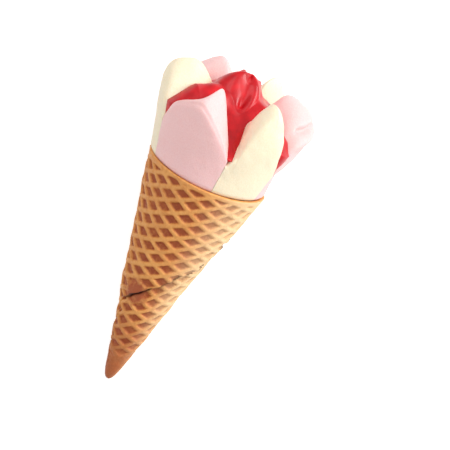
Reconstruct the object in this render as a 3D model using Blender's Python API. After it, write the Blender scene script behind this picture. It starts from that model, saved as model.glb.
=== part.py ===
"""An ice cream cone lying on its side: a rolled waffle cone, six petals of ice cream, and fruit sauce.

Every shape is worked out in the cone's own frame and laid down by one empty. In that frame Z runs
along the cone's axis from the point where its sides would meet, azimuth -90 degrees is the side that
faces up once the cone lies down, and azimuth +90 degrees is the side that rests. Sizes are in metres.
"""

import math

import bmesh
import bpy
from mathutils import Matrix, Vector

GAP = 0.0003  # air left between two pieces that touch

# The rolled waffle cone.
HALF_ANGLE = math.radians(13.46)
RIM_HEIGHT = 0.1087
RIM_WAVE = 0.0006  # the rim's rise and fall, twice round
TIP_HEIGHT = 0.0082
TIP_ROUNDING = 0.0016
WALL = 0.0022
SHEET_STEP = 0.0010  # how far the rolled sheet's free edge stands above the turn under it
SEAM_DISTANCE = 0.0425  # from the apex to the straight free edge, on the sheet laid flat
SEAM_TURN = math.radians(-42.5)  # direction of that shortest line, from the middle of the top side
SEAM_FADE = 0.053  # below this distance from the apex the free edge bends along the cone and melts in
CAVITY_HEIGHT = 0.021
COLUMNS = 30
FLAT_ANGLE = math.radians(10)  # facets that meet at less than this become one

# The waffle grid: two families of ribs on the sheet laid flat, above and below the free edge.
RIB_HALF_WIDTH = 0.13  # as a share of the rib pitch
POCKET_DEPTH = 0.0008
POCKET_SLOPE = 0.84  # the floor of a pocket is this much of its mouth
GRID_OUTER = ((0.00562, -27.4, 0.27), (0.00570, 32.5, 0.47))  # pitch, direction, phase
GRID_INNER = ((0.00556, -22.0, 0.58), (0.00490, 39.7, 0.87))
RIM_BAND = 0.0022
PLAIN_TIP = 0.023
REST_HALF_WIDTH = 0.0048
REST_DEPTH = 0.0007  # how far the flat that the cone rests on cuts into the round side

# The petals. A profile is given as radius and height: GROOVE_PROFILE along the groove between two
# petals, and one profile along each petal's ridge.
GROOVE_PROFILE = (
    (0.0284, 0.1200),
    (0.0289, 0.1216),
    (0.0283, 0.1226),
    (0.0260, 0.1234),
    (0.0200, 0.1258),
    (0.0120, 0.1290),
    (0.0015, 0.1320),
)
GROOVE_NECK = (0.0276, 0.1165)
PETAL_SECTIONS = 11
PETAL_SHIFT = 0.0004  # each petal is moved out by this, which opens the gaps between petals
PETAL_INSET = 0.0003  # how far the petals stay inside the line of the waffle cone
PETAL_ROOM = 0.0008  # how far the sauce stays clear of a petal's top
ROOM_STRETCH = 100  # and of its flanks, as a widening for each metre of that room
NARROW = 0.42  # the petals taper towards the middle by this share of their width
LIP = 0.0010
NO_FALL = (0, 0, 0, 0, 0, 0, 0)
# name, first azimuth, azimuth of the ridge, last azimuth, the two flanks' (power, sharpness), share of
# the first flank that stays low, neck above the rim, ridge profile, fall of the first flank's profile
PETALS = (
    ("pink_petal_1", -149, -113, -77, (1.0, 0.42), (1.15, 0.80), 0, GROOVE_NECK,
     ((0.0334, 0.1375), (0.0334, 0.1424), (0.0324, 0.1444), (0.0280, 0.1474), (0.0225, 0.1502),
      (0.0170, 0.1470), (0.0015, 0.1330)),
     (0, 0, 0.001, 0.015, 0.030, 0.020, 0)),
    ("cream_petal_1", -77, -56, -27, (1.0, 0.24), (1.7, 0.95), 0.34, GROOVE_NECK,
     ((0.0325, 0.1370), (0.0329, 0.1450), (0.0314, 0.1504), (0.0265, 0.1532), (0.0215, 0.1514),
      (0.0150, 0.1410), (0.0015, 0.1330)),
     NO_FALL),
    ("pink_petal_2", -27, 8, 41, (1.3, 0.62), (1.5, 0.70), 0, (0.0263, 0.1280),
     ((0.0310, 0.1334), (0.0329, 0.1403), (0.0324, 0.1478), (0.0266, 0.1526), (0.0174, 0.1542),
      (0.0120, 0.1460), (0.0015, 0.1330)),
     NO_FALL),
    ("cream_petal_2", 41, 66, 91, (1.4, 0.60), (1.4, 0.60), 0, GROOVE_NECK,
     ((0.0310, 0.1360), (0.0324, 0.1430), (0.0304, 0.1500), (0.0246, 0.1542), (0.0174, 0.1520),
      (0.0110, 0.1420), (0.0015, 0.1330)),
     NO_FALL),
    ("pink_petal_3", 91, 126, 161, (1.4, 0.62), (1.4, 0.62), 0, GROOVE_NECK,
     ((0.0334, 0.1374), (0.0340, 0.1425), (0.0324, 0.1475), (0.0284, 0.1510), (0.0222, 0.1528),
      (0.0130, 0.1460), (0.0015, 0.1330)),
     NO_FALL),
    ("cream_petal_3", 161, 186, 211, (1.5, 0.55), (1.3, 0.50), 0, GROOVE_NECK,
     ((0.0334, 0.1374), (0.0340, 0.1425), (0.0324, 0.1475), (0.0280, 0.1507), (0.0216, 0.1518),
      (0.0130, 0.1450), (0.0015, 0.1330)),
     NO_FALL),
)

# The sauce: arms in the six grooves, given from the middle outwards as radius and height, and the
# folded knob in the middle.
FULL_ARM = ((0.005, 0.1485), (0.012, 0.1468), (0.021, 0.1425), (0.027, 0.1384), (0.0309, 0.1336))
LEFT_ARM = ((0.005, 0.1490), (0.0118, 0.1476), (0.0222, 0.1446), (0.0273, 0.1378), (0.0309, 0.1336))
FRONT_ARM = ((0.004, 0.1475), (0.0063, 0.1444), (0.011, 0.1406), (0.0178, 0.1354), (0.0293, 0.1253))
ARMS = (
    (-149, LEFT_ARM),
    (-77, FRONT_ARM),
    (-27, FULL_ARM),
    (41, FULL_ARM),
    (91, FULL_ARM),
    (161, FULL_ARM),
    (211, LEFT_ARM),
)
SAG = 0.0052  # how far the sauce lies lower between two arms, under the petals
DRAW_IN = 0.0055  # and how far it reaches out less
KNOB_CENTRE = (-0.0022, 0)
KNOB_RADIUS = 0.0098
KNOB_RISE = 0.0072
KNOB_FOLDS = 3
KNOB_FOLD_DEPTH = 0.14
KNOB_TWIST = 420  # radians for each metre from the middle
SIDE_PEAK = (0.0047, 0.0035, 0.0024, 0.0036)  # x, y, width and rise of the smaller peak
FRONT_HOLLOW = (0.0014, -0.0070, 0.0018, -0.0030)
SAUCE_OUTER_BASE = 0.1236
OUTER_SLOPE = 0.0030  # how much narrower the sauce is at that height than at its top
SAUCE_UNDERSIDE = ((0.0180, 0.1235), (0.0090, 0.1290))
SAUCE_BOTTOM = 0.1342


def wafer_radius(height):
    """Radius of the waffle cone's side, rounded off at the tip."""
    above_tip = max(height - TIP_HEIGHT, 0)
    return height * math.tan(HALF_ANGLE) * math.sqrt(1 - math.exp(-above_tip / TIP_ROUNDING))


def seam_azimuth(height):
    """Azimuth of the rolled sheet's free edge at a height, in degrees."""
    along = height / math.cos(HALF_ANGLE)
    straight = max(along, SEAM_FADE)
    turned = SEAM_TURN + math.acos(SEAM_DISTANCE / straight)
    rate = SEAM_DISTANCE / (straight * math.sqrt(straight**2 - SEAM_DISTANCE**2))
    bend = 0.0085
    if along < SEAM_FADE:
        turned -= rate * bend * (1 - math.exp((along - SEAM_FADE) / bend))
    return -90 + math.degrees(turned / math.sin(HALF_ANGLE))


def seam_step(height):
    """Height of the free edge above the turn under it."""
    share = (height - 0.8 * SEAM_FADE) / (0.3 * SEAM_FADE)
    return SHEET_STEP * (0.15 + 0.85 * min(max(share, 0), 1))


def rolled_radius(azimuth, height):
    """Radius of the rolled sheet's outer side, which spirals in by one step a turn."""
    behind = (seam_azimuth(height) - azimuth) % 360
    return wafer_radius(height) + seam_step(height) * (0.5 - behind / 360)


def rim_height(azimuth):
    return RIM_HEIGHT + RIM_WAVE * math.cos(math.radians(2 * azimuth))


def polar(radius, azimuth, height):
    angle = math.radians(azimuth)
    return Vector((radius * math.cos(angle), radius * math.sin(angle), height))


def make_object(name, mesh_data, pose):
    """Turns a bmesh into an object of outward triangles, laid down by the pose empty."""
    bmesh.ops.triangulate(mesh_data, faces=mesh_data.faces)
    bmesh.ops.recalc_face_normals(mesh_data, faces=mesh_data.faces)
    mesh = bpy.data.meshes.new(name)
    mesh_data.to_mesh(mesh)
    mesh_data.free()
    obj = bpy.data.objects.new(name, mesh)
    bpy.context.scene.collection.objects.link(obj)
    obj.parent = pose
    return obj


def add_loft(mesh_data, loops):
    """One closed solid through loops with equal numbers of points, flat at both ends."""
    rings = [[mesh_data.verts.new(point) for point in loop] for loop in loops]
    count = len(rings[0])
    for ring, following in zip(rings, rings[1:]):
        for i in range(count):
            j = (i + 1) % count
            mesh_data.faces.new((ring[i], ring[j], following[j], following[i]))
    mesh_data.faces.new(rings[0])
    mesh_data.faces.new(rings[-1])


def cut_rest_flat(mesh_data):
    """Cuts away what lies below the plane that the cone rests on."""
    point = Vector((0, -REST_DEPTH / math.cos(HALF_ANGLE), 0))
    normal = Vector((0, math.cos(HALF_ANGLE), -math.sin(HALF_ANGLE)))
    bmesh.ops.bisect_plane(
        mesh_data,
        geom=mesh_data.verts[:] + mesh_data.edges[:] + mesh_data.faces[:],
        plane_co=point,
        plane_no=normal,
        dist=1e-7,
        clear_outer=True,
    )
    bmesh.ops.holes_fill(mesh_data, edges=[edge for edge in mesh_data.edges if edge.is_boundary])


def floor_block():
    """A block with its top in the plane that the cone rests on."""
    along = Vector((0, math.sin(HALF_ANGLE), math.cos(HALF_ANGLE)))
    below = Vector((0, math.cos(HALF_ANGLE), -math.sin(HALF_ANGLE)))
    side = Vector((1, 0, 0))
    corner = Vector((0, -REST_DEPTH / math.cos(HALF_ANGLE), 0))
    loops = []
    for depth in (0, 0.010):
        loop = []
        for across, distance in ((-0.04, -0.02), (0.04, -0.02), (0.04, 0.13), (-0.04, 0.13)):
            loop.append(corner + side * across + along * distance + below * depth)
        loops.append(loop)
    mesh_data = bmesh.new()
    add_loft(mesh_data, loops)
    return mesh_data


def wafer_heights():
    """Heights of the rings, closer together where the free edge turns fastest and at the tip."""
    tip = [TIP_HEIGHT + step for step in (0.0002, 0.0010, 0.0026)]
    low = [0.0160 + 0.0140 * i for i in range(2)]
    bend = [0.0440 + 0.0050 * i for i in range(4)]
    high = [0.0680 + 0.0200 * i for i in range(2)]
    return tip + low + bend + high


def wafer_body():
    """The rolled sheet as a closed cup, with the step of its free edge."""
    mesh_data = bmesh.new()
    turns = [360 * i / COLUMNS for i in range(COLUMNS + 1)]

    def side_ring(height):
        ring = []
        for turn in turns:
            azimuth = seam_azimuth(height) - turn
            radius = wafer_radius(height) + seam_step(height) * (0.5 - turn / 360)
            ring.append(mesh_data.verts.new(polar(radius, azimuth, height)))
        return ring

    def rim_ring(inset):
        ring = []
        for turn in turns:
            azimuth = seam_azimuth(RIM_HEIGHT) - turn
            height = rim_height(azimuth)
            step = seam_step(height) * (0.5 - turn / 360)
            radius = wafer_radius(height) - inset + (step if inset < WALL else 0.0002 * (0.5 - turn / 360))
            ring.append(mesh_data.verts.new(polar(radius, azimuth, height)))
        return ring

    def cavity_ring():
        ring = []
        for turn in turns:
            azimuth = seam_azimuth(RIM_HEIGHT) - turn
            radius = wafer_radius(CAVITY_HEIGHT) - WALL + 0.0002 * (0.5 - turn / 360)
            ring.append(mesh_data.verts.new(polar(radius, azimuth, CAVITY_HEIGHT)))
        return ring

    rings = [side_ring(height) for height in wafer_heights()]
    rings += [rim_ring(0), rim_ring(WALL), cavity_ring()]
    for ring, following in zip(rings, rings[1:]):
        for i in range(COLUMNS + 1):
            j = (i + 1) % (COLUMNS + 1)
            mesh_data.faces.new((ring[i], ring[j], following[j], following[i]))
    tip = mesh_data.verts.new((0, 0, TIP_HEIGHT))
    floor = mesh_data.verts.new((0, 0, CAVITY_HEIGHT))
    for i in range(COLUMNS + 1):
        j = (i + 1) % (COLUMNS + 1)
        mesh_data.faces.new((rings[0][i], rings[0][j], tip))
        mesh_data.faces.new((rings[-1][i], rings[-1][j], floor))
    return mesh_data


def keep_side(outline, point, normal):
    """The part of a flat outline on the side of a line that the normal points to."""
    kept = []
    for a, b in zip(outline, outline[1:] + outline[:1]):
        side_a = (a - point).dot(normal)
        side_b = (b - point).dot(normal)
        if side_a >= 0:
            kept.append(a)
        if side_a * side_b < 0:
            kept.append(a.lerp(b, side_a / (side_a - side_b)))
    return kept


def area(outline):
    pairs = zip(outline, outline[1:] + outline[:1])
    return abs(sum(a.x * b.y - a.y * b.x for a, b in pairs)) / 2


def pocket_outlines(grid, outer):
    """Outlines of the pockets between the ribs, on the sheet laid flat with the apex at the origin."""
    waves = []
    for pitch, direction, phase in grid:
        angle = math.radians(direction)
        waves.append((math.cos(angle) / pitch, -math.sin(angle) / pitch, phase))
    (ax, ay, ap), (bx, by, bp) = waves
    det = ax * by - ay * bx
    seam_normal = Vector((math.cos(SEAM_TURN), math.sin(SEAM_TURN)))
    found = []
    reach = 34
    for m in range(-reach, reach):
        for n in range(-reach, reach):
            corners = []
            for i, j in ((0, 0), (1, 0), (1, 1), (0, 1)):
                u = m + i + RIB_HALF_WIDTH * (1 - 2 * i) - ap
                v = n + j + RIB_HALF_WIDTH * (1 - 2 * j) - bp
                corners.append(Vector(((u * by - v * ay) / det, (v * ax - u * bx) / det)))
            middle = sum(corners, Vector((0, 0))) / 4
            turn = math.atan2(middle.y, middle.x)
            if abs(turn) > math.pi * math.sin(HALF_ANGLE):
                continue
            outward = middle.normalized()
            rim = RIM_HEIGHT / math.cos(HALF_ANGLE) - RIM_BAND
            corners = keep_side(corners, outward * rim, -outward)
            sign = 1 if outer else -1
            edge = seam_normal * (SEAM_DISTANCE + sign * 0.0007)
            if middle.length > SEAM_FADE and abs(turn - SEAM_TURN) < math.pi / 2:
                corners = keep_side(corners, edge, sign * seam_normal)
            if len(corners) > 2 and area(corners) > 0.3 * (pitch * (1 - 2 * RIB_HALF_WIDTH)) ** 2:
                found.append(corners)
    return found


def on_sheet_side(outline, outer):
    """Whether all of an outline lies on its own side of the free edge, clear of the tip and the rest flat."""
    for point in outline:
        height = point.length * math.cos(HALF_ANGLE)
        azimuth = -90 + math.degrees(math.atan2(point.y, point.x) / math.sin(HALF_ANGLE))
        seam = seam_azimuth(height)
        above = azimuth < seam if azimuth > -270 else True
        if above != outer or height < PLAIN_TIP:
            return False
        if height < SEAM_FADE and abs((azimuth - seam + 180) % 360 - 180) < 6:
            return False
        across = wafer_radius(height) * math.cos(math.radians(azimuth))
        if math.sin(math.radians(azimuth)) > 0 and abs(across) < REST_HALF_WIDTH:
            return False
    return True


def pocket_cutters():
    """One mesh of small tapered plugs, one for each pocket of the waffle grid."""
    mesh_data = bmesh.new()
    for grid, outer in ((GRID_OUTER, True), (GRID_INNER, False)):
        for outline in pocket_outlines(grid, outer):
            if not on_sheet_side(outline, outer):
                continue
            middle = sum(outline, Vector((0, 0))) / len(outline)
            loops = []
            for lift, size in ((-POCKET_DEPTH, POCKET_SLOPE), (0.5 * POCKET_DEPTH, 1)):
                loop = []
                for point in outline:
                    moved = middle.lerp(point, size)
                    height = moved.length * math.cos(HALF_ANGLE)
                    turn = math.atan2(moved.y, moved.x) / math.sin(HALF_ANGLE)
                    azimuth = -90 + math.degrees(turn)
                    radius = rolled_radius(azimuth, height) + lift
                    loop.append(polar(radius, azimuth, height))
                loops.append(loop)
            add_loft(mesh_data, loops)
    return mesh_data


def smooth_points(points, parts):
    """Points on a Catmull-Rom curve through the given ones."""
    ends = [points[0] * 2 - points[1]] + list(points) + [points[-1] * 2 - points[-2]]
    found = []
    for i in range(1, len(ends) - 2):
        a, b, c, d = ends[i - 1], ends[i], ends[i + 1], ends[i + 2]
        for step in range(parts):
            t = step / parts
            found.append(
                0.5 * (2 * b + (c - a) * t + (2 * a - 5 * b + 4 * c - d) * t**2
                       + (3 * b - a - 3 * c + d) * t**3)
            )
    found.append(Vector(points[-1]))
    return found


def ease(low, high, value):
    """Rises smoothly from 0 to 1 between two values."""
    t = min(max((value - low) / (high - low), 0), 1)
    return t * t * (3 - 2 * t)


def petal_section(azimuth, lift, neck, profile, fall, room):
    """Outline of a petal in the half plane at an azimuth, as radius and height, from its root up."""
    inner = GROOVE_PROFILE[-1][0]
    rim = rim_height(azimuth) + GAP
    root = CAVITY_HEIGHT + 2 * GAP
    inside = [
        Vector((inner - room, root)),
        Vector((wafer_radius(root) - WALL - 2 * GAP, root)),
        Vector((wafer_radius(rim) - WALL - 2 * GAP, rim)),
        Vector((wafer_radius(rim) - LIP, rim)),
    ]
    start = Vector((wafer_radius(rim + 0.0022) - PETAL_INSET, rim + 0.0022))
    waist = Vector(GROOVE_NECK).lerp(Vector(neck), lift)
    top = []
    for groove, ridge, drop in zip(GROOVE_PROFILE, profile, fall):
        point = Vector(groove).lerp(Vector(ridge), lift) - Vector((0, drop * lift))
        outward = min(max((point.x - 0.0117) / 0.0088, -1), 1)
        top.append(point + Vector((room * outward, room)))
    return inside + [start] + smooth_points([waist] + top, 2)


def petal_body(first, ridge, last, near_flank, far_flank, ledge, neck, profile, fall, room):
    """A wedge of ice cream that fills its share of the cone and opens into a folded petal.

    With room it is the slightly larger shape that the sauce leaves free for the petal.
    """
    loops = []
    middle = math.radians((first + last) / 2)
    outward = 0 if room else PETAL_SHIFT
    shift = Vector((math.cos(middle), math.sin(middle), 0)) * outward
    stretch = 1 + room * ROOM_STRETCH
    for i in range(PETAL_SECTIONS):
        share = 2 * i / (PETAL_SECTIONS - 1) - 1
        share = math.copysign(1 - (1 - abs(share)) ** 1.25, share)
        near = share < 0
        power, sharpness = near_flank if near else far_flank
        span = (ridge - first if near else last - ridge) * stretch
        low = ledge if near else 0
        lift = (1 - min(abs(share) / (1 - low), 1) ** power) ** sharpness
        if low:
            lift = max(lift, 0.22 * ease(0, low, 1 - abs(share)))
        drops = [-share * drop if near else 0 for drop in fall]
        loop = []
        for point in petal_section(ridge + share * span, lift, neck, profile, drops, room):
            taper = 1 - NARROW * ease(-0.0250, -0.0130, -point.x) * ease(0.108, 0.125, point.y)
            azimuth = ridge + share * span * taper
            loop.append(polar(point.x - outward, azimuth, point.y) + shift)
        loops.append(loop)
    mesh_data = bmesh.new()
    add_loft(mesh_data, loops)
    if not room:
        cut_rest_flat(mesh_data)
    return mesh_data


def height_along(arm, radius):
    """Height on an arm's line at a radius."""
    if radius <= arm[0][0]:
        return arm[0][1]
    for (low, low_height), (high, high_height) in zip(arm, arm[1:]):
        if radius <= high:
            return low_height + (high_height - low_height) * (radius - low) / (high - low)
    return arm[-1][1]


def sauce_reach_and_level(share, azimuth):
    """Radius and height of the sauce's top at a share of its reach."""
    for (low, before), (high, after) in zip(ARMS, ARMS[1:]):
        if low <= azimuth < high:
            break
    blend = (azimuth - low) / (high - low)
    between = math.sin(math.pi * blend) ** 2
    blend = ease(0, 1, blend)
    reach = before[-1][0] + (after[-1][0] - before[-1][0]) * blend - DRAW_IN * between
    radius = share * reach
    level = height_along(before, radius) * (1 - blend) + height_along(after, radius) * blend
    level -= SAG * between * ease(0.009, 0.022, radius)

    angle = math.radians(azimuth)
    x = radius * math.cos(angle) - KNOB_CENTRE[0]
    y = radius * math.sin(angle) - KNOB_CENTRE[1]
    off = math.hypot(x, y)
    fold = math.sin(KNOB_FOLDS * math.atan2(y, x) + KNOB_TWIST * off)
    dome = max(1 - (off / (KNOB_RADIUS * (1 + KNOB_FOLD_DEPTH * fold))) ** 1.7, 0)
    level += KNOB_RISE * dome**0.85
    for middle_x, middle_y, width, rise in (SIDE_PEAK, FRONT_HOLLOW):
        away = math.hypot(radius * math.cos(angle) - middle_x, radius * math.sin(angle) - middle_y)
        level += rise * math.exp(-((away / width) ** 2))
    return radius, level


def sauce_point(share, azimuth):
    radius, level = sauce_reach_and_level(share, azimuth)
    return polar(radius, azimuth, level)


def sauce_body():
    """A disc with the sauce's top, from which the grown petals are then cut."""
    columns = 30
    shares = (0.06, 0.13, 0.20, 0.28, 0.38, 0.55, 0.78, 1.0)
    azimuths = [-149 + 360 * i / columns for i in range(columns)]
    loops = []
    for share in shares:
        loops.append([sauce_point(share, turn) for turn in azimuths])
    outer = [sauce_reach_and_level(1, turn)[0] for turn in azimuths]
    loops.append([
        polar(radius - OUTER_SLOPE - 0.4 * (FULL_ARM[-1][0] - radius), turn, SAUCE_OUTER_BASE)
        for radius, turn in zip(outer, azimuths)
    ])
    for radius, height in SAUCE_UNDERSIDE:
        loops.append([polar(radius, turn, height) for turn in azimuths])
    mesh_data = bmesh.new()
    rings = [[mesh_data.verts.new(point) for point in loop] for loop in loops]
    for ring, following in zip(rings, rings[1:]):
        for i in range(columns):
            j = (i + 1) % columns
            mesh_data.faces.new((ring[i], ring[j], following[j], following[i]))
    top_height = sauce_reach_and_level(0, 0)[1]
    top = mesh_data.verts.new((0, 0, top_height))
    bottom = mesh_data.verts.new((0, 0, SAUCE_BOTTOM))
    for i in range(columns):
        j = (i + 1) % columns
        mesh_data.faces.new((rings[0][i], rings[0][j], top))
        mesh_data.faces.new((rings[-1][i], rings[-1][j], bottom))
    return mesh_data


def material(name, colour, roughness):
    made = bpy.data.materials.new(name)
    made.use_nodes = True
    shader = made.node_tree.nodes["Principled BSDF"]
    shader.inputs["Base Color"].default_value = (*colour, 1)
    shader.inputs["Roughness"].default_value = roughness
    shader.inputs["Metallic"].default_value = 0
    return made


def cutter(name, mesh_data, pose):
    obj = make_object(name, mesh_data, pose)
    obj.hide_render = True
    obj.display_type = "WIRE"
    return obj


def cut_away(obj, tool, solver):
    step = obj.modifiers.new("cut " + tool.name, "BOOLEAN")
    step.operation = "DIFFERENCE"
    step.solver = solver
    step.object = tool


def main():
    for obj in list(bpy.data.objects):
        bpy.data.objects.remove(obj)
    pose = bpy.data.objects.new("lying_cone", None)
    bpy.context.scene.collection.objects.link(pose)

    baked = material("baked_wafer", (0.62, 0.26, 0.07), 0.55)
    pink = material("pink_ice_cream", (0.80, 0.47, 0.45), 0.5)
    cream = material("cream_ice_cream", (0.93, 0.80, 0.58), 0.5)
    sauce = material("red_fruit_sauce", (0.55, 0.012, 0.02), 0.15)

    wafer = make_object("wafer_cone", wafer_body(), pose)
    wafer.data.materials.append(baked)
    cut_away(wafer, cutter("pocket_cutters", pocket_cutters(), pose), "MANIFOLD")

    merge = wafer.modifiers.new("merge flat faces", "DECIMATE")
    merge.decimate_type = "DISSOLVE"
    merge.angle_limit = FLAT_ANGLE
    cut_away(wafer, cutter("floor_block", floor_block(), pose), "MANIFOLD")

    star = make_object("sauce_star", sauce_body(), pose)
    star.data.materials.append(sauce)
    for name, *shape in PETALS:
        petal = make_object(name, petal_body(*shape, 0), pose)
        petal.data.materials.append(pink if name.startswith("pink") else cream)
        cut_away(star, cutter(name + "_room", petal_body(*shape, PETAL_ROOM), pose), "MANIFOLD")

    # Local Z along the axis and local Y down, tipped by the half angle so that the flat lies level.
    lie = Matrix((
        (0, math.sin(HALF_ANGLE), math.cos(HALF_ANGLE)),
        (-1, 0, 0),
        (0, -math.cos(HALF_ANGLE), math.sin(HALF_ANGLE)),
    ))
    pose.rotation_euler = lie.to_euler()
    solids = [obj for obj in bpy.data.objects if obj.type == "MESH" and not obj.hide_render]
    points = [lie @ vertex.co for obj in solids for vertex in obj.data.vertices]
    middle_x = (min(p.x for p in points) + max(p.x for p in points)) / 2
    middle_y = (min(p.y for p in points) + max(p.y for p in points)) / 2
    pose.location = (-middle_x, -middle_y, -REST_DEPTH)


main()
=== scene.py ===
import math

import bpy
import numpy as np
from mathutils import Matrix, Vector


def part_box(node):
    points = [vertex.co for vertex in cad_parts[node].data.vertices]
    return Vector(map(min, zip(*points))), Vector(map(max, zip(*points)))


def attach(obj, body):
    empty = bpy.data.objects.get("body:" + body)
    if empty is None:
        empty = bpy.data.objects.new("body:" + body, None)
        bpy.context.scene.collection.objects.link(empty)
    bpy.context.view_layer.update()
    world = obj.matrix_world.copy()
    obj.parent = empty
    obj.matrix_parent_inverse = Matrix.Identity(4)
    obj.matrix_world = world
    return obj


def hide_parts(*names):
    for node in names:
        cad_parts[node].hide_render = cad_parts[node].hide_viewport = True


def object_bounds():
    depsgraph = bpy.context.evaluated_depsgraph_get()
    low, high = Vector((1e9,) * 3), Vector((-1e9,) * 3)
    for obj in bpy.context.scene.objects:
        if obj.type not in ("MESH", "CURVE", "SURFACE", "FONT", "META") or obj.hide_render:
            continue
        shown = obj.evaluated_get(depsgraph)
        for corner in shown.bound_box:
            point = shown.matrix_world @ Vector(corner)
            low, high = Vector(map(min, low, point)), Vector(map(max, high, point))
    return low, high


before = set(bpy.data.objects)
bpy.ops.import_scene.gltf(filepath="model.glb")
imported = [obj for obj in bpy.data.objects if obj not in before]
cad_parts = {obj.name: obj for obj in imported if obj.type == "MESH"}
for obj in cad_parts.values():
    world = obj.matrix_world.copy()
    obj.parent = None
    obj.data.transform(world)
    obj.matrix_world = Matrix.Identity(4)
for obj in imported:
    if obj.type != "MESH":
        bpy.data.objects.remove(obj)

cad_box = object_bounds()

# ---------------------------------------------------------------------------------------------
# The waffle cone: batter baked flat in a ribbed iron and rolled while it is hot.
# The sheet's straight free edge lies on top of the turn under it, and the rim is left smooth.
# Lengths are in metres, heights run along the cone's axis from where its sides would meet, and
# azimuth -90 degrees is the side that faces up.
HALF_ANGLE = math.radians(13.46)
REST_DEPTH = 0.0007
RIM_HEIGHT = 0.1087
RIM_WAVE = 0.0006
TIP_HEIGHT = 0.0082
TIP_ROUNDING = 0.0016
TIP_REACH = 0.0078
WALL = 0.0022
SHEET_STEP = 0.0016
SEAM_DISTANCE = 0.0425
SEAM_TURN = math.radians(-42.5)
SEAM_FADE = 0.053
CAVITY_HEIGHT = 0.024
RIM_BAND = 0.0019
POCKET_DEPTH = 0.00125
GRID_OUTER = ((0.00562, -27.4, 0.27), (0.00570, 32.5, 0.47))
GRID_INNER = ((0.00556, -22.0, 0.58), (0.00490, 39.7, 0.87))

tip_side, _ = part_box("wafer_cone")
apex = Vector((tip_side[0] - TIP_REACH, 0.5 * (cad_box[0][1] + cad_box[1][1]), -REST_DEPTH))
axis_along = Vector((math.cos(HALF_ANGLE), 0, math.sin(HALF_ANGLE)))
axis_side = Vector((0, -1, 0))
axis_down = Vector((math.sin(HALF_ANGLE), 0, -math.cos(HALF_ANGLE)))
lying = Matrix((axis_side, axis_down, axis_along)).transposed()


def smooth(low, high, value):
    t = np.clip((value - low) / (high - low), 0, 1)
    return t * t * (3 - 2 * t)


def ripple(x, y, size, seed):
    """Smooth uneven values from about -1 to 1 that change over a length of about size."""
    rng = np.random.default_rng(seed)
    total = np.zeros(np.broadcast(x, y).shape)
    for _ in range(7):
        turn = rng.uniform(0, math.tau)
        pace = math.tau / size * rng.uniform(0.35, 1.0)
        total += np.sin(pace * (math.cos(turn) * x + math.sin(turn) * y) + rng.uniform(0, math.tau))
    return total / 3.2


def in_world(points):
    """Points in the cone's own frame, laid down on the floor."""
    return points @ np.array(lying).T + np.array(apex)


def add_piece(name, rings, closed_end, values=None):
    """A mesh through rings of points in the cone's own frame, with point values for its material.

    rings has the shape (rings, points, 3). Each end is closed by one point, where closed_end says.
    """
    rows, count, _ = rings.shape
    points = rings.reshape(-1, 3)
    index = np.arange(rows * count).reshape(rows, count)
    right = np.roll(index, -1, axis=1)
    quads = np.stack([index[:-1], right[:-1], right[1:], index[1:]], axis=-1).reshape(-1, 4)
    faces = quads.tolist()
    extra = []
    for end, point in closed_end:
        hub = len(points) + len(extra)
        extra.append(point)
        row = index[end]
        pairs = zip(row, np.roll(row, -1)) if end else zip(np.roll(row, -1), row)
        faces += [(int(a), int(b), hub) for a, b in pairs]
    if extra:
        points = np.concatenate([points, np.array(extra, float)])
    mesh = bpy.data.meshes.new(name)
    mesh.from_pydata(in_world(points).tolist(), [], faces)
    for key, array in (values or {}).items():
        flat = np.concatenate([np.asarray(array, float).ravel(), np.zeros(len(extra))])
        mesh.attributes.new(key, "FLOAT", "POINT").data.foreach_set("value", flat.astype(np.float32))
    mesh.polygons.foreach_set("use_smooth", [True] * len(mesh.polygons))
    mesh.validate()
    piece = bpy.data.objects.new(name, mesh)
    bpy.context.scene.collection.objects.link(piece)
    return piece


def wafer_radius(height):
    above = np.maximum(height - TIP_HEIGHT, 0)
    return height * math.tan(HALF_ANGLE) * np.sqrt(1 - np.exp(-above / TIP_ROUNDING))


def seam_azimuth(height):
    along = height / math.cos(HALF_ANGLE)
    straight = np.maximum(along, SEAM_FADE)
    turned = SEAM_TURN + np.arccos(SEAM_DISTANCE / straight)
    rate = SEAM_DISTANCE / (straight * np.sqrt(straight**2 - SEAM_DISTANCE**2))
    bend = 0.0085
    turned -= np.where(along < SEAM_FADE, rate * bend * (1 - np.exp((along - SEAM_FADE) / bend)), 0)
    return -90 + np.degrees(turned) / math.sin(HALF_ANGLE)


def rim_height(azimuth):
    return RIM_HEIGHT + RIM_WAVE * np.cos(np.radians(2 * azimuth))


def polar(radius, azimuth, height):
    turn = np.radians(azimuth)
    return np.stack(np.broadcast_arrays(radius * np.cos(turn), radius * np.sin(turn), height), axis=-1)


def pockets(grid, x, y):
    """How deep a place on the flat sheet lies in a pocket of the iron's grid, from 0 to 1."""
    deep = np.ones(np.broadcast(x, y).shape)
    for pitch, direction, phase in grid:
        turn = math.radians(direction)
        wave = (math.cos(turn) * x - math.sin(turn) * y) / pitch + phase
        off = np.abs(wave - np.round(wave))
        deep = deep * smooth(0.085, 0.27, off)
    return deep


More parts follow.
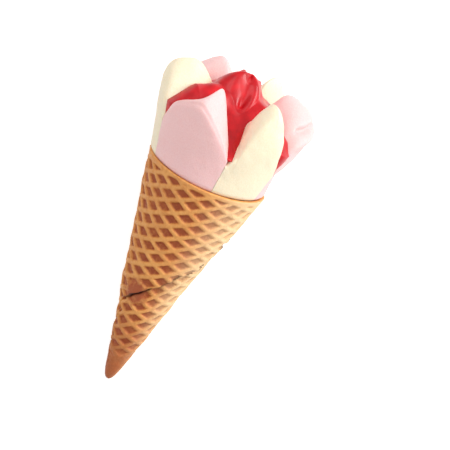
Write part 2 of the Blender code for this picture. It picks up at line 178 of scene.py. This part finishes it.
def wafer_piece():
    columns = 376
    tip = TIP_HEIGHT + 0.0040 * np.linspace(0.02, 1, 14) ** 1.8
    side = np.linspace(TIP_HEIGHT + 0.0044, RIM_HEIGHT, 222)
    heights = np.concatenate([tip, side])[:, None]
    lift = heights - TIP_HEIGHT
    behind = np.linspace(0, 360, columns)[None, :]
    ragged = ripple(heights, 0, 0.0050, 11) * 0.0008 + ripple(heights, 0, 0.0022, 12) * 0.0006
    edge = seam_azimuth(heights) + np.degrees(ragged / np.maximum(wafer_radius(heights), 0.004))
    azimuth = edge - behind
    heights = np.broadcast_to(heights, azimuth.shape)
    heights = heights + (rim_height(azimuth) - RIM_HEIGHT) * smooth(0.06, RIM_HEIGHT, heights)

    wrapped = (azimuth + 270) % 360 - 270
    slant = heights / math.cos(HALF_ANGLE)
    turn = np.radians(wrapped + 90) * math.sin(HALF_ANGLE)
    x = slant * np.cos(turn)
    y = slant * np.sin(turn)
    x = x + 0.00028 * ripple(x, y, 0.016, 1)
    y = y + 0.00028 * ripple(x, y, 0.016, 2)

    # Which side of the free edge a place is on: azimuths count down from the edge to the rest side.
    outer = wrapped < edge
    deep = np.where(outer, pockets(GRID_OUTER, x, y), pockets(GRID_INNER, x, y))
    rim_side = RIM_HEIGHT / math.cos(HALF_ANGLE) - slant
    deep = deep * smooth(RIM_BAND - 0.0003, RIM_BAND + 0.0004, rim_side + 0.0002 * ripple(x, y, 0.006, 3))
    deep = deep * smooth(0.016, 0.028, heights)
    rest = np.abs(((azimuth - 90 + 180) % 360 - 180)) * np.radians(1) * wafer_radius(heights)
    deep = deep * smooth(0.0044, 0.0062, rest)
    brown_spot = np.exp(-(((x - 0.0530) / 0.0062) ** 2 + ((y + 0.0050) / 0.0056) ** 2))
    brown_spot = np.where(wrapped < -40, brown_spot, 0)
    # Painted light: the side towards the side lamp is painted paler, standing in for stronger light there.
    painted_sidelight = smooth(-85, -25, wrapped) * smooth(0.012, 0.060, heights)
    painted_sidelight = painted_sidelight * smooth(-90, -30, -wrapped)
    toast = (1 - smooth(0.010, 0.050, heights)) * smooth(-20, 60, -wrapped)
    deep = deep * (1 - 0.85 * smooth(0.25, 0.8, brown_spot))

    step = SHEET_STEP * (0.12 + 0.88 * smooth(0.043, 0.052, heights))
    radius = wafer_radius(heights) + step * (0.5 - behind / 360)
    uneven = 0.85 + 0.15 * ripple(x, y, 0.012, 4)
    radius = radius - POCKET_DEPTH * uneven * deep * smooth(0, 0.012, lift)
    radius = radius + 0.00010 * ripple(x, y, 0.004, 5) * smooth(0, 0.01, lift)
    radius = radius + 0.00022 * ripple(x, y, 0.020, 6) * smooth(0, 0.02, lift)
    # A groove runs along the sheet under the free edge; its dark colour is painted shade.
    past_edge = np.radians(360 - behind) * wafer_radius(heights)
    under = np.exp(-((past_edge / 0.0010) ** 2)) * smooth(0.044, 0.050, heights)
    radius = radius - 0.0009 * under

    points = polar(radius, azimuth, heights)
    flat = points[..., 2] * math.tan(HALF_ANGLE) - REST_DEPTH / math.cos(HALF_ANGLE)
    points[..., 1] = np.minimum(points[..., 1], flat)
    rim = heights[-1]
    rows = [points]
    # Painted shade: the groove under the free edge and a strip along the edge itself are painted near black.
    painted_crack_shade = np.maximum(under, np.exp(-behind / 1.2) * smooth(0.044, 0.050, heights) * 0.7)
    marks = {
        "pocket": [deep], "brown": [brown_spot], "painted_crack_shade": [painted_crack_shade], "painted_sidelight": [painted_sidelight], "toast": [toast]}
    for inset, rise in ((0.0003, 0.0004), (0.0010, 0.0005), (0.0017, 0.0002), (WALL, -0.0003)):
        top = polar(radius[-1] - inset, azimuth[-1], rim + rise)
        top[..., 1] = np.minimum(top[..., 1], top[..., 2] * math.tan(HALF_ANGLE) - REST_DEPTH)
        rows.append(top[None])
    for height in (0.100, 0.080, 0.055, CAVITY_HEIGHT):
        wall = polar(wafer_radius(np.float64(height)) - WALL - 0.0001 * behind[0] / 360, azimuth[-1], height)
        rows.append(wall[None])
    for key in marks:
        marks[key].append(np.zeros((8, columns)))
    rings = np.concatenate(rows)
    ends = ((0, (0, 0, TIP_HEIGHT)), (-1, (0, 0, CAVITY_HEIGHT)))
    values = {key: np.concatenate(parts) for key, parts in marks.items()}
    return add_piece("wafer", rings, ends, values)


def linear(colour):
    """An sRGB hex colour as the linear values that shaders take."""
    parts = [int(colour[i:i + 2], 16) / 255 for i in (1, 3, 5)]
    return (*[v / 12.92 if v <= 0.04045 else ((v + 0.055) / 1.055) ** 2.4 for v in parts], 1)


def add_node(tree, kind, inputs, **settings):
    """Adds a node with its settings. An input is a value, or another node's output to link."""
    made = tree.nodes.new(kind)
    for key, value in settings.items():
        setattr(made, key, value)
    for key, value in inputs.items():
        if isinstance(value, bpy.types.NodeSocket):
            tree.links.new(value, made.inputs[key])
        else:
            made.inputs[key].default_value = value
    return made


def new_material(name):
    made = bpy.data.materials.new(name)
    made.use_nodes = True
    tree = made.node_tree
    return made, tree, tree.nodes["Principled BSDF"]


def per_metre(size_mm):
    """A noise scale whose features are about size_mm wide."""
    return 1000 / size_mm


def baked_wafer():
    """Baked sugar batter: dry and matte, golden on the ribs and red-brown in the pockets, with fine pores,
    painted paler where the side lamp falls and painted dark shade under the free edge.
    """
    made, tree, shader = new_material("baked_sugar_wafer")
    place = add_node(tree, "ShaderNodeTexCoord", {}).outputs["Object"]
    marks = ("pocket", "brown", "painted_crack_shade", "painted_sidelight", "toast")
    pocket, brown, painted_crack_shade, painted_sidelight, toast = [
        add_node(tree, "ShaderNodeAttribute", {}, attribute_name=mark).outputs["Fac"] for mark in marks]
    cloud = add_node(tree, "ShaderNodeTexNoise", {"Vector": place, "Scale": per_metre(9), "Detail": 4.0})
    mottle = add_node(tree, "ShaderNodeTexNoise", {"Vector": place, "Scale": per_metre(1.6), "Detail": 5.0})
    grain = add_node(tree, "ShaderNodeTexNoise", {"Vector": place, "Scale": per_metre(0.5), "Detail": 3.0})

    spread = add_node(tree, "ShaderNodeMath", {0: mottle.outputs["Fac"], 1: 0.5}, operation="SUBTRACT")
    depth = add_node(tree, "ShaderNodeMath", {
        0: spread.outputs[0], 1: 1.1, 2: pocket}, operation="MULTIPLY_ADD")
    ramp = add_node(tree, "ShaderNodeValToRGB", {"Fac": depth.outputs[0]})
    ramp.color_ramp.elements[0].position = 0.0
    ramp.color_ramp.elements[0].color = linear("#e8a55c")
    ramp.color_ramp.elements[1].position = 0.95
    ramp.color_ramp.elements[1].color = linear("#9b4826")
    ramp.color_ramp.elements.new(0.42).color = linear("#d18643")
    warm = add_node(tree, "ShaderNodeMapRange", {
        "Value": cloud.outputs["Fac"], "From Min": 0.38, "From Max": 0.68, "To Min": 0.0, "To Max": 0.4})
    toasted = add_node(tree, "ShaderNodeMix", {
        "Factor": warm.outputs[0], "A": ramp.outputs["Color"], "B": linear("#c4753c")}, data_type="RGBA")
    spot = add_node(tree, "ShaderNodeMath", {
        0: spread.outputs[0], 1: 0.9, 2: brown}, operation="MULTIPLY_ADD")
    spot = add_node(tree, "ShaderNodeMapRange", {
        "Value": spot.outputs[0], "From Min": 0.2, "From Max": 0.75, "To Min": 0.0, "To Max": 0.85})
    browned = add_node(tree, "ShaderNodeMix", {
        "Factor": spot.outputs[0], "A": toasted.outputs["Result"], "B": linear("#a04629")}, data_type="RGBA")
    ripe = add_node(tree, "ShaderNodeMath", {0: toast, 1: 0.85}, operation="MULTIPLY")
    ripened = add_node(tree, "ShaderNodeMix", {
        "Factor": ripe.outputs[0], "A": browned.outputs["Result"], "B": linear("#a34d29")}, data_type="RGBA")
    rib = add_node(tree, "ShaderNodeMath", {0: 1.0, 1: pocket}, operation="SUBTRACT")
    # Painted light: on the side towards the side lamp the ribs are painted pale cream, as if lit more
    # strongly.
    painted_light_amount = add_node(tree, "ShaderNodeMath", {0: rib.outputs[0], 1: 0.30, 2: 0.60}, operation="MULTIPLY_ADD")
    painted_light_amount = add_node(tree, "ShaderNodeMath", {0: painted_light_amount.outputs[0], 1: painted_sidelight}, operation="MULTIPLY")
    light = add_node(tree, "ShaderNodeMix", {
        "Factor": painted_light_amount.outputs[0], "A": ripened.outputs["Result"], "B": linear("#fad6a4")}, data_type="RGBA")
    # Painted shade: the groove under the free edge is painted near black.
    dark = add_node(tree, "ShaderNodeMix", {
        "Factor": painted_crack_shade, "A": light.outputs["Result"], "B": linear("#35110a")}, data_type="RGBA")
    tree.links.new(dark.outputs["Result"], shader.inputs["Base Color"])

    rough = add_node(tree, "ShaderNodeMapRange", {
        "Value": mottle.outputs["Fac"], "From Min": 0.3, "From Max": 0.7, "To Min": 0.45, "To Max": 0.65})
    tree.links.new(rough.outputs[0], shader.inputs["Roughness"])
    shader.inputs["Specular IOR Level"].default_value = 0.35
    pores = add_node(tree, "ShaderNodeBump", {
        "Height": grain.outputs["Fac"], "Strength": 0.5, "Distance": 0.00025})
    pits = add_node(tree, "ShaderNodeBump", {
        "Height": mottle.outputs["Fac"], "Strength": 0.6, "Distance": 0.0006, "Normal": pores.outputs[0]})
    tree.links.new(pits.outputs[0], shader.inputs["Normal"])
    return made


wafer = wafer_piece()
wafer.data.materials.append(baked_wafer())
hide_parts("wafer_cone")
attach(wafer, "root")

# ---------------------------------------------------------------------------------------------
# The petals: three of strawberry-pink and three of plain cream ice cream, pressed side by side
# through a star nozzle so that they fill the cone and fold outwards above its rim.
GAP = 0.0003  # air between two pieces that touch
PETAL_SHIFT = 0.0002  # each petal is moved out by this
PETAL_INSET = 0.0003  # how far the petals stay inside the line of the waffle cone
NARROW = 0.42  # the petals taper towards the middle by this share of their width
# The groove between two petals and the neck under it, as radius and height in millimetres.
GROOVE_NECK = (27.6, 116.5)
GROOVE_PROFILE = (
    (28.4, 120.0), (28.9, 121.6), (28.3, 122.6), (26.0, 123.4), (20.0, 125.8), (12.0, 129.0), (1.5, 132.0),
)
# Name, first azimuth, ridge and last azimuth, the two flanks' (power, sharpness), the neck above the
# rim and the profile along the ridge, both as radius and height in millimetres.
PETALS = (
    ("pink_petal_1", -149, -113, -77, (1.0, 0.42), (1.15, 0.80), GROOVE_NECK,
     ((33.4, 137.5), (33.4, 142.4), (32.4, 144.4), (28.0, 147.4),
      (22.5, 150.2), (17.0, 147.0), (1.5, 133.0))),
    ("cream_petal_1", -77, -56, -27, (1.0, 0.24), (1.7, 0.95), GROOVE_NECK,
     ((32.5, 137.0), (32.9, 145.0), (31.4, 150.4), (26.5, 153.2),
      (21.5, 151.4), (15.0, 141.0), (1.5, 133.0))),
    ("pink_petal_2", -27, 8, 41, (1.3, 0.62), (1.5, 0.70), (26.3, 128.0),
     ((31.0, 133.4), (32.9, 140.3), (32.4, 147.8), (26.6, 152.6),
      (17.4, 154.2), (12.0, 146.0), (1.5, 133.0))),
    ("cream_petal_2", 41, 66, 91, (1.4, 0.60), (1.4, 0.60), GROOVE_NECK,
     ((31.0, 136.0), (32.4, 143.0), (30.4, 150.0), (24.6, 154.2),
      (17.4, 152.0), (11.0, 142.0), (1.5, 133.0))),
    ("pink_petal_3", 91, 126, 161, (1.4, 0.62), (1.4, 0.62), GROOVE_NECK,
     ((33.4, 137.4), (34.0, 142.5), (32.4, 147.5), (28.4, 151.0),
      (22.2, 152.8), (13.0, 146.0), (1.5, 133.0))),
    ("cream_petal_3", 161, 186, 211, (1.5, 0.55), (1.3, 0.50), GROOVE_NECK,
     ((33.4, 137.4), (34.0, 142.5), (32.4, 147.5), (28.0, 150.7),
      (21.6, 151.8), (13.0, 145.0), (1.5, 133.0))),
)
# How much lower the near flank of the first petal lies inside, in millimetres, from the neck inwards.
NEAR_FALL = {"pink_fold_1": (0, 0, 0, 1, 15, 30, 20, 0)}
NEAR_LEDGE = {"cream_fold_1": 0.34}  # share of the near flank that stays low, under the sauce
LEDGE_LIFT = 0.22  # how far up that share reaches
CREASED = "pink_fold_2"
CREASE_HEIGHT = 0.1400  # at the petal's first azimuth
CREASE_RISE = 0.00022  # for each degree
CREASE_DEPTH = 0.0030
LOBE_BULGE = 0.0016  # the lobe under the crease stands out by this


def curve_through(points, parts):
    """Points on a Catmull-Rom curve through the given rows of points, along the first axis."""
    ends = np.concatenate([2 * points[:1] - points[1:2], points, 2 * points[-1:] - points[-2:-1]])
    found = []
    for i in range(1, len(ends) - 2):
        a, b, c, d = ends[i - 1], ends[i], ends[i + 1], ends[i + 2]
        for t in np.arange(parts) / parts:
            found.append(0.5 * (2 * b + (c - a) * t + (2 * a - 5 * b + 4 * c - d) * t**2
                                + (3 * b - a - 3 * c + d) * t**3))
    found.append(points[-1])
    return np.array(found)


def petal_piece(name, first, ridge, last, near_flank, far_flank, neck, profile, seed):
    sections = 97
    share = np.linspace(-1, 1, sections)
    share = np.sign(share) * (1 - (1 - np.abs(share)) ** 1.35)
    span = np.where(share < 0, ridge - first, last - ridge)
    power = np.where(share < 0, near_flank[0], far_flank[0])
    sharp = np.where(share < 0, near_flank[1], far_flank[1])
    soft = np.sqrt(share**2 + 0.05**2) - 0.05 * np.abs(share)
    ledge = NEAR_LEDGE.get(name, 0) * (share < 0)
    lift = np.clip(1 - np.minimum(soft / (1 - ledge), 1) ** power, 0, 1) ** sharp
    up_ledge = smooth(0, 1, (1 - np.abs(share)) / np.maximum(ledge, 0.01))
    lift = np.maximum(lift, LEDGE_LIFT * up_ledge * (ledge > 0))
    azimuth = ridge + share * span

    rim = rim_height(azimuth) + GAP
    start = np.stack([wafer_radius(rim + 0.0018) - PETAL_INSET, rim + 0.0018], axis=-1)
    low = np.array([GROOVE_NECK])[:, None, :]
    drawn = lift if neck == GROOVE_NECK else smooth(0, 0.35, lift)
    waist = 0.001 * (low + (np.array([neck])[:, None, :] - low) * drawn[None, :, None])
    groove = 0.001 * np.array(GROOVE_PROFILE)[:, None, :]
    top = groove + (0.001 * np.array(profile)[:, None, :] - groove) * lift[None, :, None]
    fall = np.array(NEAR_FALL.get(name, [0] * 8)) * 0.001
    outline = np.concatenate([waist, top])
    outline[..., 1] -= fall[:, None] * lift * np.maximum(-share, 0)
    outside = curve_through(outline, 11)
    inner = np.full(sections, 0.0015)
    root = np.full(sections, CAVITY_HEIGHT + 0.001)
    inside = [
        np.stack([inner, root], axis=-1),
        np.stack([wafer_radius(root) - WALL - 2 * GAP, root], axis=-1),
        np.stack([wafer_radius(rim - 0.02) - WALL - 2 * GAP, rim - 0.02], axis=-1),
        np.stack([wafer_radius(rim) - WALL - 2 * GAP, rim - 0.001], axis=-1),
        np.stack([wafer_radius(rim) - 0.0016, rim + 0.0001], axis=-1),
        np.stack([wafer_radius(rim) - 0.0009, rim + 0.0003], axis=-1),
        np.stack([wafer_radius(rim) - 0.0004, rim + 0.0009], axis=-1),
    ]
    joined = np.linspace(0, 1, 12)[1:, None, None]
    bulge = start[None] + (waist - start[None]) * joined[:-1]
    section = np.concatenate([np.array(inside), start[None], bulge, outside])

    radius = section[..., 0] - PETAL_SHIFT
    z = section[..., 1]
    taper = 1 - NARROW * smooth(-0.0250, -0.0130, -radius) * smooth(0.108, 0.125, z)
    azimuth = ridge + share[None, :] * span[None, :] * taper
    around = azimuth * np.radians(1) * 0.03
    above = smooth(0.112, 0.122, z) * smooth(0.003, 0.010, radius)
    wave = 0.00030 * ripple(around, z, 0.014, seed) + 0.00010 * ripple(around, z, 0.004, seed + 1)
    if name == CREASED:
        crease = CREASE_HEIGHT + CREASE_RISE * (azimuth - first)
        fade = smooth(-20, 4, -azimuth) * smooth(0.026, 0.029, radius)
        wave = wave - CREASE_DEPTH * np.exp(-(((z - crease) / 0.0010) ** 2)) * fade
        wave = wave + LOBE_BULGE * np.exp(-(((z - crease + 0.0040) / 0.0024) ** 2)) * fade
    points = polar(radius + wave * above, azimuth, z + 0.6 * wave * above)
    middle = math.radians((first + last) / 2)
    points += np.array([math.cos(middle), math.sin(middle), 0]) * PETAL_SHIFT
    flat = points[..., 2] * math.tan(HALF_ANGLE) - REST_DEPTH / math.cos(HALF_ANGLE)
    points[..., 1] = np.minimum(points[..., 1], flat)
    rings = np.swapaxes(points, 0, 1)
    ends = ((0, rings[0].mean(axis=0)), (-1, rings[-1].mean(axis=0)))
    return add_piece(name, rings, ends)


def ice_cream(name, body, deep):
    """Churned ice cream: satin, faintly translucent, of one even colour with a fine frosty grain."""
    made, tree, shader = new_material(name)
    place = add_node(tree, "ShaderNodeTexCoord", {}).outputs["Object"]
    grain = add_node(tree, "ShaderNodeTexNoise", {"Vector": place, "Scale": per_metre(0.6), "Detail": 4.0})
    lumps = add_node(tree, "ShaderNodeTexNoise", {"Vector": place, "Scale": per_metre(2.4), "Detail": 2.0})
    shade = add_node(tree, "ShaderNodeMapRange", {
        "Value": grain.outputs["Fac"], "From Min": 0.25, "From Max": 0.6, "To Min": 0.45, "To Max": 0.0})
    colour = add_node(tree, "ShaderNodeMix", {
        "Factor": shade.outputs[0], "A": linear(body), "B": linear(deep)}, data_type="RGBA")
    tree.links.new(colour.outputs["Result"], shader.inputs["Base Color"])
    shader.inputs["Roughness"].default_value = 0.5
    shader.inputs["Specular IOR Level"].default_value = 0.3
    shader.inputs["Subsurface Weight"].default_value = 0.3
    shader.inputs["Subsurface Radius"].default_value = (1.0, 0.7, 0.55)
    shader.inputs["Subsurface Scale"].default_value = 0.0020
    soft = add_node(tree, "ShaderNodeBump", {
        "Height": lumps.outputs["Fac"], "Strength": 0.25, "Distance": 0.0005})
    frost = add_node(tree, "ShaderNodeBump", {
        "Height": grain.outputs["Fac"], "Strength": 0.22, "Distance": 0.0003, "Normal": soft.outputs[0]})
    tree.links.new(frost.outputs[0], shader.inputs["Normal"])
    return made


pink = ice_cream("pink_ice_cream", "#f9cdcb", "#efb5b4")
cream = ice_cream("cream_ice_cream", "#fbecd0", "#f4dcb2")
for seed, (name, *shape) in enumerate(PETALS):
    petal = petal_piece(name.replace("petal", "fold"), *shape, 20 + 2 * seed)
    kind = "pink" if name.startswith("pink") else "cream"
    petal.data.materials.append(pink if kind == "pink" else cream)
    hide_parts(name)
    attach(petal, "root")

# ---------------------------------------------------------------------------------------------
# The fruit sauce: a thick, glossy red berry sauce that was run through the middle of the nozzle.
# It fills the grooves between the petals and stands up in a folded knob where they meet.
# The arms' tops from the middle outwards, as radius and height in millimetres.
FULL_ARM = ((5.0, 148.5), (12.0, 146.8), (21.0, 142.5), (27.0, 138.4), (30.9, 133.6))
LEFT_ARM = ((5.0, 149.0), (11.8, 147.6), (22.2, 144.6), (27.3, 137.8), (30.9, 133.6))
FRONT_ARM = ((4.0, 147.5), (6.3, 144.4), (11.0, 140.6), (17.8, 135.4), (29.3, 125.3))
ARMS = (
    (-149, LEFT_ARM), (-77, FRONT_ARM), (-27, FULL_ARM), (41, FULL_ARM), (91, FULL_ARM), (161, FULL_ARM),
)
SAG = 0.0052  # how far the sauce lies lower between two arms, under the petals
DRAW_IN = 0.0055  # and how far it reaches out less
KNOB_SIDE = 0.0022  # the knob stands this far to the left of the axis
KNOB_RADIUS = 0.0098
KNOB_RISE = 0.0072
KNOB_FOLDS = 3
KNOB_TWIST = 420  # radians for each metre from the knob's middle
OUTER_BASE = 0.1236  # height of the foot of the arms' outer faces


def sauce_piece():
    """Rows of points from the middle outwards, down the outer faces of the arms and back underneath."""
    columns = 360
    azimuth = np.linspace(-149, 211, columns, endpoint=False)[None, :]
    share = np.linspace(0.008, 1, 150)[:, None]
    turns = np.array([arm[0] for arm in ARMS] + [211])
    before = np.searchsorted(turns, azimuth[0], side="right") - 1
    blend = (azimuth - turns[before]) / (turns[before + 1] - turns[before])
    between = np.sin(math.pi * blend) ** 2
    tips = np.array([0.001 * line[-1][0] for _, line in ARMS + ARMS[:1]])
    ease = smooth(0, 1, blend)
    reach = tips[before] + (tips[before + 1] - tips[before]) * ease - DRAW_IN * between
    radii = share * reach
    lines = [np.array(line).T for _, line in ARMS + ARMS[:1]]
    heights = np.array([0.001 * np.interp(1000 * radii, *line) for line in lines])
    pick = np.arange(columns)
    level = heights[before, :, pick].T * (1 - ease) + heights[before + 1, :, pick].T * ease
    level = level - SAG * between * smooth(0.009, 0.022, radii)
    x = radii * np.cos(np.radians(azimuth))
    y = radii * np.sin(np.radians(azimuth))

    # The middle stands up in a twisted knob with a second, smaller peak and a hollow in front.
    off = np.hypot(x + KNOB_SIDE, y)
    turned = np.arctan2(y, x + KNOB_SIDE)
    fold = np.sin(KNOB_FOLDS * turned + KNOB_TWIST * off)
    dome = np.clip(1 - (off / (KNOB_RADIUS * (1 + 0.14 * fold))) ** 1.7, 0, 1)
    level = level + KNOB_RISE * dome**0.85 + 0.0007 * fold * smooth(0.001, 0.003, off) * dome
    level = level + 0.0036 * np.exp(-(((x - 0.0047) / 0.0022) ** 2 + ((y - 0.0035) / 0.0026) ** 2))
    level = level - 0.0030 * np.exp(-(((x - 0.0014) / 0.0016) ** 2 + ((y + 0.0070) / 0.0020) ** 2))
    level = level + 0.00025 * ripple(x, y, 0.0060, 61)
    top = np.stack([x, y, level], axis=-1)

    edge = reach[0]
    rows = [top]
    for part in (0.2, 0.4, 0.6, 0.8, 1.0):
        radius = edge - (0.0030 + 0.4 * (tips.max() - edge)) * part
        height = level[-1] + (OUTER_BASE - level[-1]) * part
        rows.append(polar(radius + 0.0004 * math.sin(math.pi * part), azimuth[0], height)[None])
    for radius, height in ((0.0180, 0.1235), (0.0090, 0.1290), (0.0010, 0.1340)):
        rows.append(polar(radius, azimuth[0], np.full(columns, height))[None])
    rings = np.concatenate(rows)
    return add_piece("sauce", rings, ((0, rings[0].mean(axis=0)), (-1, (0, 0, 0.1342))))


def berry_sauce():
    """Cooked berry puree thickened with syrup: deep red and opaque, with a soft wet shine."""
    made, tree, shader = new_material("berry_sauce")
    place = add_node(tree, "ShaderNodeTexCoord", {}).outputs["Object"]
    pulp = add_node(tree, "ShaderNodeTexNoise", {"Vector": place, "Scale": per_metre(5), "Detail": 2.0})
    ramp = add_node(tree, "ShaderNodeValToRGB", {"Fac": pulp.outputs["Fac"]})
    ramp.color_ramp.elements[0].position = 0.32
    ramp.color_ramp.elements[0].color = linear("#b00f19")
    ramp.color_ramp.elements[1].position = 0.70
    ramp.color_ramp.elements[1].color = linear("#d01620")
    tree.links.new(ramp.outputs["Color"], shader.inputs["Base Color"])
    wet = add_node(tree, "ShaderNodeMapRange", {
        "Value": pulp.outputs["Fac"], "From Min": 0.3, "From Max": 0.7, "To Min": 0.28, "To Max": 0.40})
    tree.links.new(wet.outputs[0], shader.inputs["Roughness"])
    shader.inputs["Specular IOR Level"].default_value = 0.3
    shader.inputs["Coat Weight"].default_value = 0.12
    shader.inputs["Coat Roughness"].default_value = 0.15
    bump = add_node(tree, "ShaderNodeBump", {
        "Height": pulp.outputs["Fac"], "Strength": 0.12, "Distance": 0.0008})
    tree.links.new(bump.outputs[0], shader.inputs["Normal"])
    return made


sauce = sauce_piece()
sauce.data.materials.append(berry_sauce())
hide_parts("sauce_star")
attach(sauce, "root")

# ---------------------------------------------------------------------------------------------
# The table: a plain white board under the cone, with a soft shadow.
board_mesh = bpy.data.meshes.new("board")
reach = 3.0
corners = [(-reach, -reach, 0), (reach, -reach, 0), (reach, reach, 0), (-reach, reach, 0)]
board_mesh.from_pydata(corners, [], [(0, 1, 2, 3)])
board = bpy.data.objects.new("board", board_mesh)
board.location.z = -0.0002
bpy.context.scene.collection.objects.link(board)

painted, tree, shader = new_material("matt_white_board")
shader.inputs["Base Color"].default_value = linear("#ededed")
shader.inputs["Roughness"].default_value = 0.9
path = add_node(tree, "ShaderNodeLightPath", {})
seen = add_node(tree, "ShaderNodeMath", {
    0: path.outputs["Is Camera Ray"], 1: path.outputs["Is Glossy Ray"]}, operation="MAXIMUM")
seen = add_node(tree, "ShaderNodeMath", {
    0: seen.outputs[0], 1: path.outputs["Is Transmission Ray"]}, operation="MAXIMUM")
glow = add_node(tree, "ShaderNodeEmission", {"Color": linear("#ffffff"), "Strength": 0.52})
both = add_node(tree, "ShaderNodeAddShader", {0: shader.outputs[0], 1: glow.outputs[0]})
mixed = add_node(tree, "ShaderNodeMixShader", {0: seen.outputs[0], 1: shader.outputs[0], 2: both.outputs[0]})
tree.links.new(mixed.outputs[0], tree.nodes["Material Output"].inputs["Surface"])
board_mesh.materials.append(painted)

# ---------------------------------------------------------------------------------------------
# The studio: white surroundings, one broad soft lamp beside the cone and a weak one over it.
world = bpy.data.worlds.new("white_room")
bpy.context.scene.world = world
world.use_nodes = True
sky = world.node_tree
sky_path = add_node(sky, "ShaderNodeLightPath", {})
plain = sky.nodes["Background"]
plain.inputs["Color"].default_value = linear("#ffffff")
plain.inputs["Strength"].default_value = 0.60
white = add_node(sky, "ShaderNodeBackground", {"Color": linear("#ffffff"), "Strength": 1.0})
sky_seen = add_node(sky, "ShaderNodeMath", {
    0: sky_path.outputs["Is Camera Ray"], 1: sky_path.outputs["Is Transmission Ray"]}, operation="MAXIMUM")
sky_mix = add_node(sky, "ShaderNodeMixShader", {
    0: sky_seen.outputs[0], 1: plain.outputs[0], 2: white.outputs[0]})
sky.links.new(sky_mix.outputs[0], sky.nodes["World Output"].inputs["Surface"])

VIEW_TILT = math.radians(15.5) - HALF_ANGLE  # the axis leans this much further towards the camera
PICTURE_TURN = math.radians(64.3)  # the axis's direction in the picture, from the right
SCALE = 0.0004228 * 450  # width of the picture at the cone
DISTANCE = 1.6
towards = Vector((math.sin(VIEW_TILT), 0, math.cos(VIEW_TILT)))
along = Vector((math.cos(VIEW_TILT), 0, -math.sin(VIEW_TILT)))
right = math.cos(PICTURE_TURN) * along + math.sin(PICTURE_TURN) * axis_side
up = math.sin(PICTURE_TURN) * along - math.cos(PICTURE_TURN) * axis_side
centre = apex + 0.0536 * right + 0.0725 * up + 0.018 * towards


def add_lamp(name, direction, distance, size, power):
    light = bpy.data.lights.new(name, "AREA")
    light.shape = "DISK"
    light.size = size
    light.energy = power
    lamp = bpy.data.objects.new(name, light)
    lamp.location = centre + direction.normalized() * distance
    lamp.rotation_euler = (-direction).to_track_quat("-Z", "Y").to_euler()
    bpy.context.scene.collection.objects.link(lamp)


add_lamp("side_softbox", 0.86 * right + 0.22 * up + 0.55 * towards, 0.9, 0.5, 6.0)
add_lamp("top_softbox", -0.15 * right + 0.35 * up + 1.0 * towards, 1.2, 0.9, 4.0)

camera_data = bpy.data.cameras.new("camera")
camera_data.type = "PERSP"
camera_data.sensor_width = 36
camera_data.lens = 36 * DISTANCE / SCALE
camera_data.clip_end = 20
camera = bpy.data.objects.new("camera", camera_data)
camera.matrix_world = Matrix.Translation(centre + towards * DISTANCE) @ Matrix(
    (right, up, towards)).transposed().to_4x4()
bpy.context.scene.collection.objects.link(camera)
bpy.context.scene.camera = camera
bpy.context.scene.view_settings.view_transform = "Standard"
